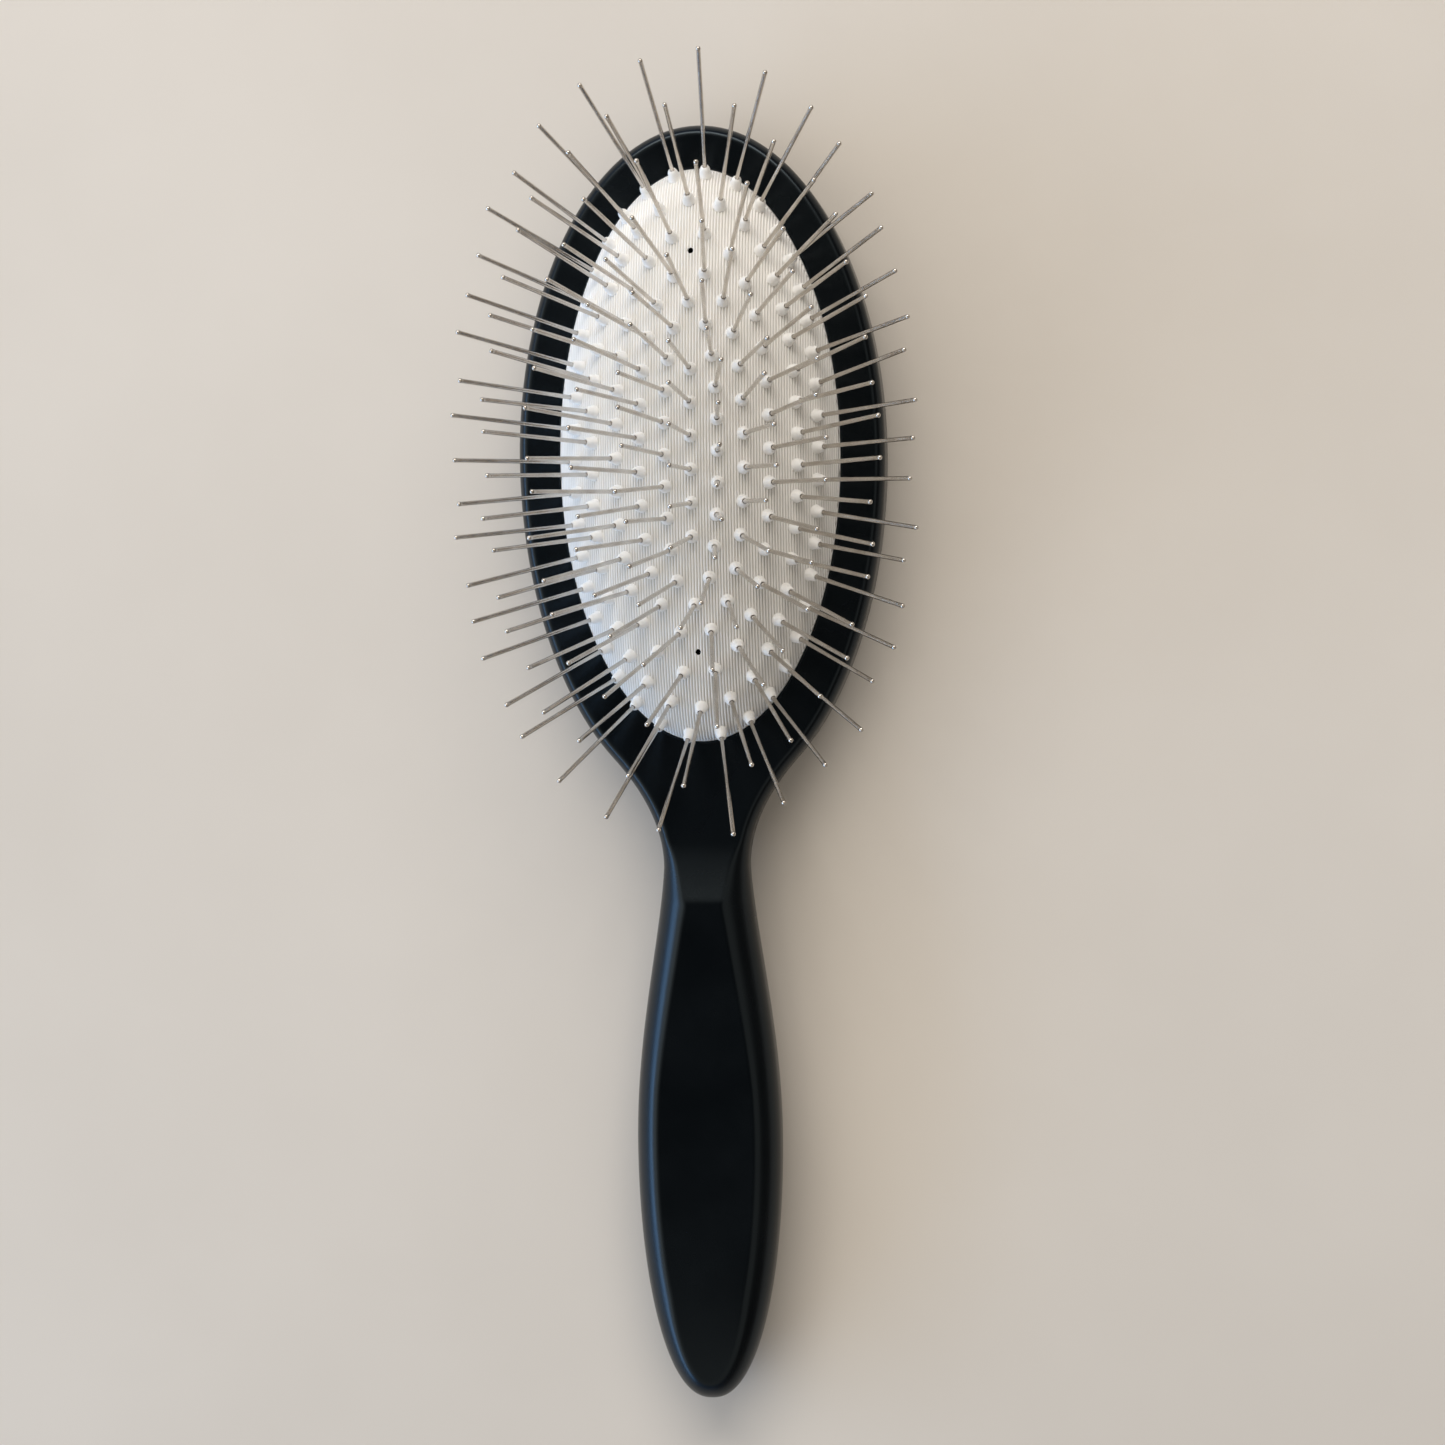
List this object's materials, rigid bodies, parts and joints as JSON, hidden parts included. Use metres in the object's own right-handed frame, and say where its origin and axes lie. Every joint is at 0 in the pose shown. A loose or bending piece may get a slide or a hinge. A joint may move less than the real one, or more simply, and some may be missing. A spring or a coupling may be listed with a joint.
{
  "type": "paddle brush",
  "caption": "Oval pin brush: steel pins fan out of a domed rubber air cushion set in a black wooden body with a faceted handle.",
  "frame": {"origin": "on the flat back of the head, straight below the centre of the cushion", "axes": "+Z out of the face, where the pins stand; +Y from the handle to the toe of the head; +X to the right seen from the pins' side"},
  "size_m": [0.0856, 0.2523, 0.0533],
  "materials": {
    "lacquered_wood": "matt black lacquer",
    "white_rubber": "matt, finely ribbed",
    "pin_steel": "polished wire"
  },
  "bodies": {
    "brush_body": {"handle_body": "lacquered_wood", "cushion_pad": "white_rubber"},
    "crown_row": {"pins_crown_row": "pin_steel"},
    "inner_ring": {"pins_inner_ring": "pin_steel"},
    "fourth_ring": {"pins_fourth_ring": "pin_steel"},
    "third_ring": {"pins_third_ring": "pin_steel"},
    "second_ring": {"pins_second_ring": "pin_steel"},
    "outer_ring": {"pins_outer_ring": "pin_steel"}
  },
  "joints": [
    {"name": "cushion_press", "type": "slide", "parent": "brush_body", "child": "crown_row", "axis": [0, 0, -1], "range_m": [0, 0.005], "stiffness_N_per_m": 3000, "deforming": ["cushion_pad"]},
    {"name": "inner_ring_sink", "type": "slide", "parent": "brush_body", "child": "inner_ring", "axis": [0, 0, -1], "range_m": [0, 0.00465]},
    {"name": "fourth_ring_sink", "type": "slide", "parent": "brush_body", "child": "fourth_ring", "axis": [0, 0, -1], "range_m": [0, 0.0042]},
    {"name": "third_ring_sink", "type": "slide", "parent": "brush_body", "child": "third_ring", "axis": [0, 0, -1], "range_m": [0, 0.0035]},
    {"name": "second_ring_sink", "type": "slide", "parent": "brush_body", "child": "second_ring", "axis": [0, 0, -1], "range_m": [0, 0.0024]},
    {"name": "outer_ring_sink", "type": "slide", "parent": "brush_body", "child": "outer_ring", "axis": [0, 0, -1], "range_m": [0, 0.00115]}
  ],
  "couplings": [
    {"joint": "inner_ring_sink", "follows": "cushion_press", "ratio": 0.93},
    {"joint": "fourth_ring_sink", "follows": "cushion_press", "ratio": 0.84},
    {"joint": "third_ring_sink", "follows": "cushion_press", "ratio": 0.7},
    {"joint": "second_ring_sink", "follows": "cushion_press", "ratio": 0.48},
    {"joint": "outer_ring_sink", "follows": "cushion_press", "ratio": 0.23}
  ]
}
